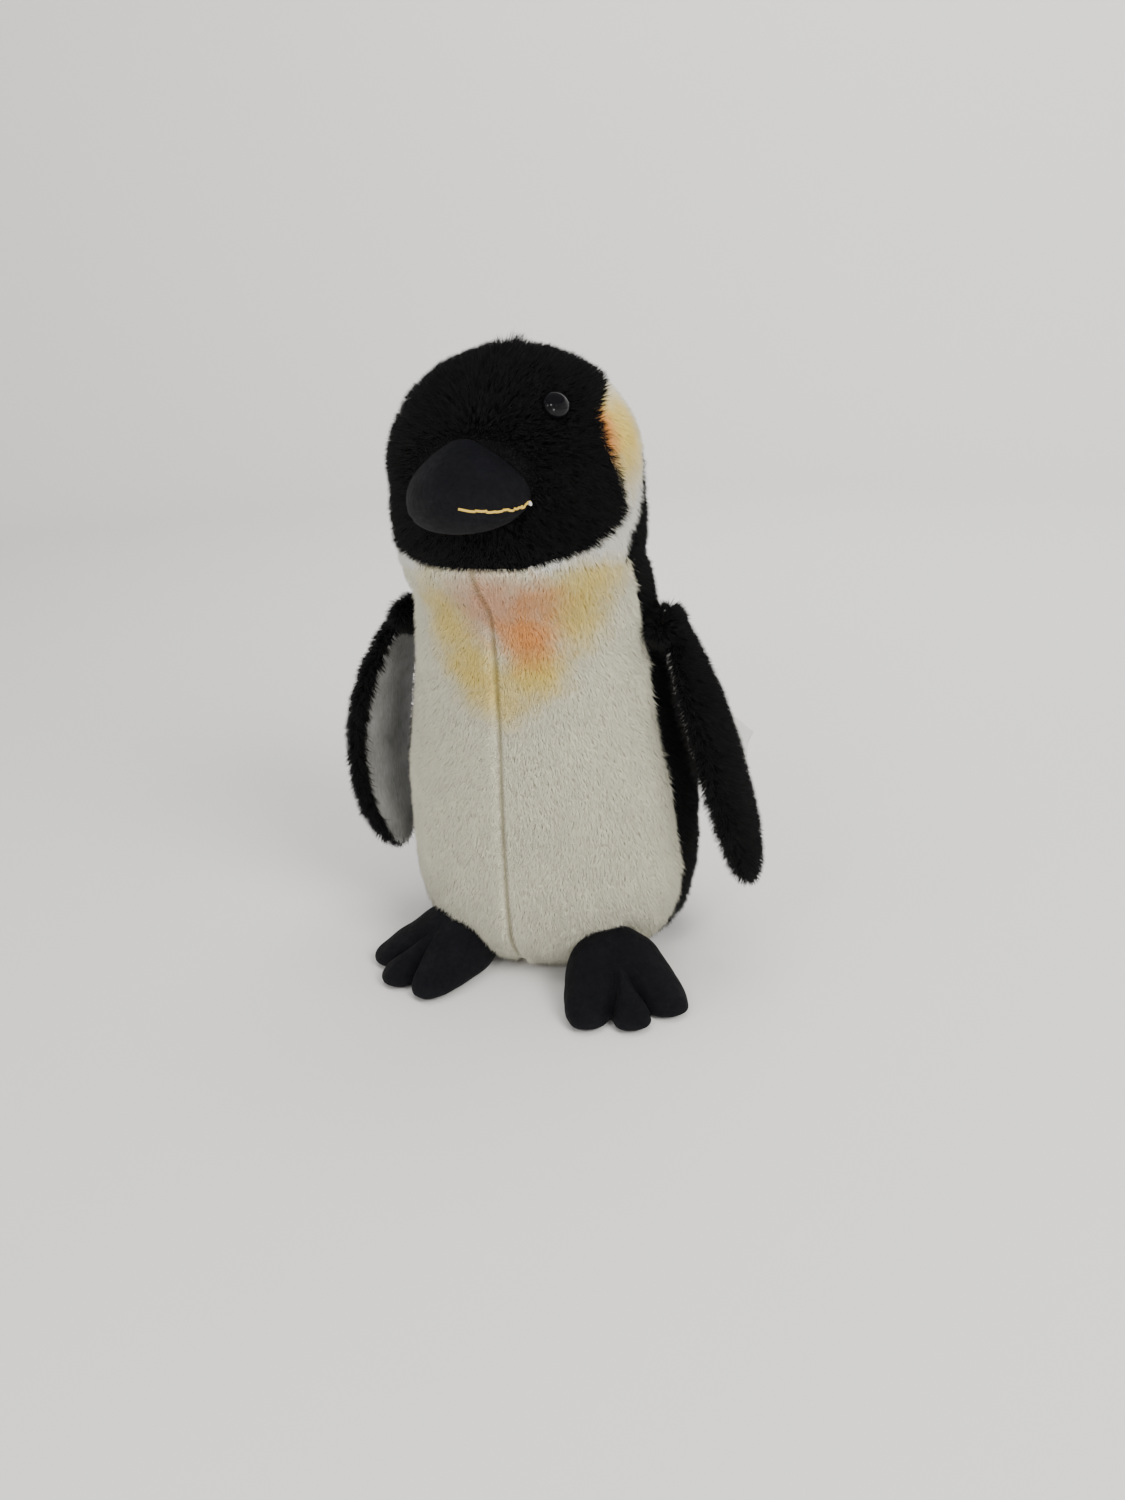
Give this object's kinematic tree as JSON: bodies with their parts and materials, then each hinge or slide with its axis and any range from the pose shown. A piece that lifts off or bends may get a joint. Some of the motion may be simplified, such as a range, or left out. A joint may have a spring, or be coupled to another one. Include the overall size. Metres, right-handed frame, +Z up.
{
  "type": "plush penguin",
  "caption": "Standing plush penguin toy: black pile hood and back, white front with a dyed bib, stuffed wings, beak and splayed feet, weighted flat base.",
  "frame": {"origin": "middle of the flat base panel, on the surface that the toy stands on", "axes": "+Z up, the toy faces -Y, its own left side is +X"},
  "size_m": [0.2028, 0.1716, 0.291],
  "materials": {
    "black_pile": "matte",
    "white_pile": "matte",
    "dyed_white_pile": "matte",
    "pale_grey_pile": "matte",
    "black_short_nap": "matte",
    "filling": "matte",
    "pellet_bag_cotton": "matte",
    "base_cloth": "matte",
    "eye_plastic": "gloss",
    "washer_plastic": "matte",
    "gold_thread": "satin",
    "label_satin": "satin"
  },
  "bodies": {
    "torso": {"front_panel_left": "white_pile", "front_panel_right": "white_pile", "back_panel_left": "black_pile", "back_panel_right": "black_pile", "base_panel": "base_cloth", "body_stuffing": "filling", "pellet_bag": "pellet_bag_cotton"},
    "neck": {"neck_stuffing": "filling"},
    "head": {"hood_left": "black_pile", "hood_right": "black_pile", "cheek_left": "dyed_white_pile", "cheek_right": "dyed_white_pile", "nape_panel": "black_pile", "head_stuffing": "filling", "beak_upper": "black_short_nap", "beak_lower": "black_short_nap", "beak_stuffing": "filling", "mouth_thread_left": "gold_thread", "mouth_thread_right": "gold_thread", "eye_left": "eye_plastic", "eye_right": "eye_plastic", "eye_washer_left": "washer_plastic", "eye_washer_right": "washer_plastic"},
    "wing_left": {"wing_outer_left": "black_pile", "wing_inner_left": "pale_grey_pile", "wing_stuffing_left": "filling", "care_label": "label_satin"},
    "wing_right": {"wing_outer_right": "black_pile", "wing_inner_right": "pale_grey_pile", "wing_stuffing_right": "filling"},
    "foot_left": {"foot_upper_left": "black_short_nap", "foot_sole_left": "black_short_nap", "foot_stuffing_left": "filling"},
    "foot_right": {"foot_upper_right": "black_short_nap", "foot_sole_right": "black_short_nap", "foot_stuffing_right": "filling"}
  },
  "joints": [
    {"name": "neck_turn", "type": "hinge", "parent": "torso", "child": "neck", "pos_m": [0, -0.014, 0.188], "axis": [0, 0, 1], "range_deg": [-25, 25], "stiffness_Nm_per_rad": 0.3},
    {"name": "neck_nod", "type": "hinge", "parent": "neck", "child": "head", "pos_m": [0, -0.014, 0.188], "axis": [1, 0, 0], "range_deg": [-10, 10], "stiffness_Nm_per_rad": 0.4},
    {"name": "wing_left_flap", "type": "hinge", "parent": "torso", "child": "wing_left", "pos_m": [0.06613, -0.00971, 0.169], "axis": [0, -1, 0], "range_deg": [-3, 75], "stiffness_Nm_per_rad": 0.03},
    {"name": "wing_right_flap", "type": "hinge", "parent": "torso", "child": "wing_right", "pos_m": [-0.06613, -0.00971, 0.169], "axis": [0, 1, 0], "range_deg": [-2, 75], "stiffness_Nm_per_rad": 0.03},
    {"name": "foot_left_fold", "type": "hinge", "parent": "torso", "child": "foot_left", "pos_m": [0.04183, -0.04159, 0], "axis": [0.8387, 0.5446, 0], "range_deg": [0, 50], "stiffness_Nm_per_rad": 0.03},
    {"name": "foot_right_fold", "type": "hinge", "parent": "torso", "child": "foot_right", "pos_m": [-0.03341, -0.0477, 0], "axis": [0.829, -0.5592, 0], "range_deg": [0, 50], "stiffness_Nm_per_rad": 0.03}
  ]
}
